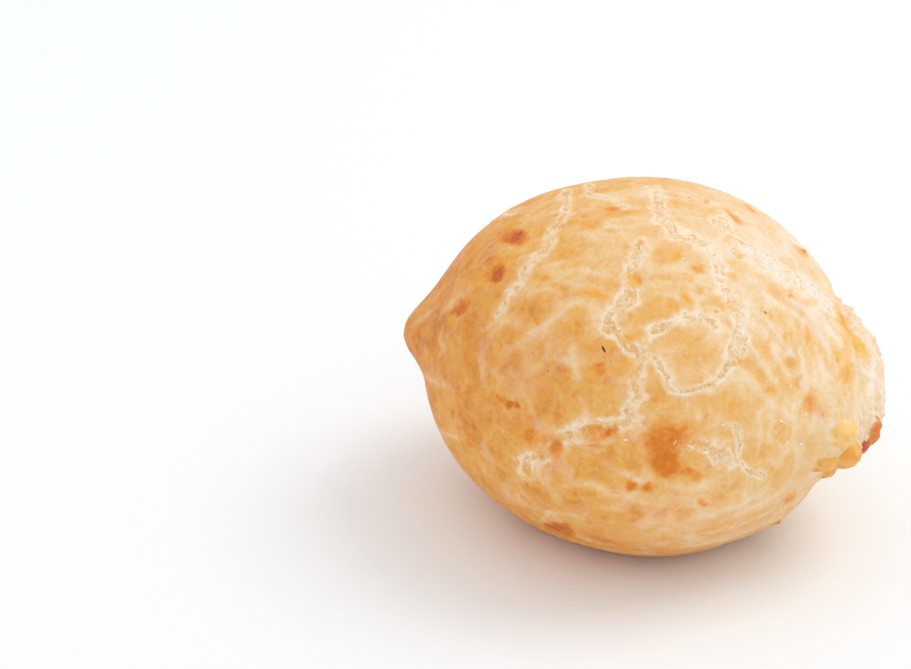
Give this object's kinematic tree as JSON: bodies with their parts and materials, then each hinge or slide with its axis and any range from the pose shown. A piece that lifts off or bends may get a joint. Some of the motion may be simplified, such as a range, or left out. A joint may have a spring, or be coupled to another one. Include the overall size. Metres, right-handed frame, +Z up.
{
  "type": "pao de queijo cheese ball",
  "caption": "Baked cheese-bread ball, lemon-shaped, with a cracked golden crust, a torn end, melted cheese and a small flat to rest on.",
  "frame": {"origin": "on the surface that the ball rests on, under the middle of its length and width", "axes": "+Z up from the resting flat, +X from the drawn-out tip towards the torn end, along the ball's length, -Y towards the browned blister and the side with most cracks"},
  "size_m": [0.0598, 0.0518, 0.0434],
  "materials": {
    "crust": "thin baked cassava crust, not plastic: pale gold to toasted tan, satin, with rough pale crumb in its cracks"
  },
  "bodies": {
    "root": {"cheese_ball": "crust"}
  },
  "joints": []
}
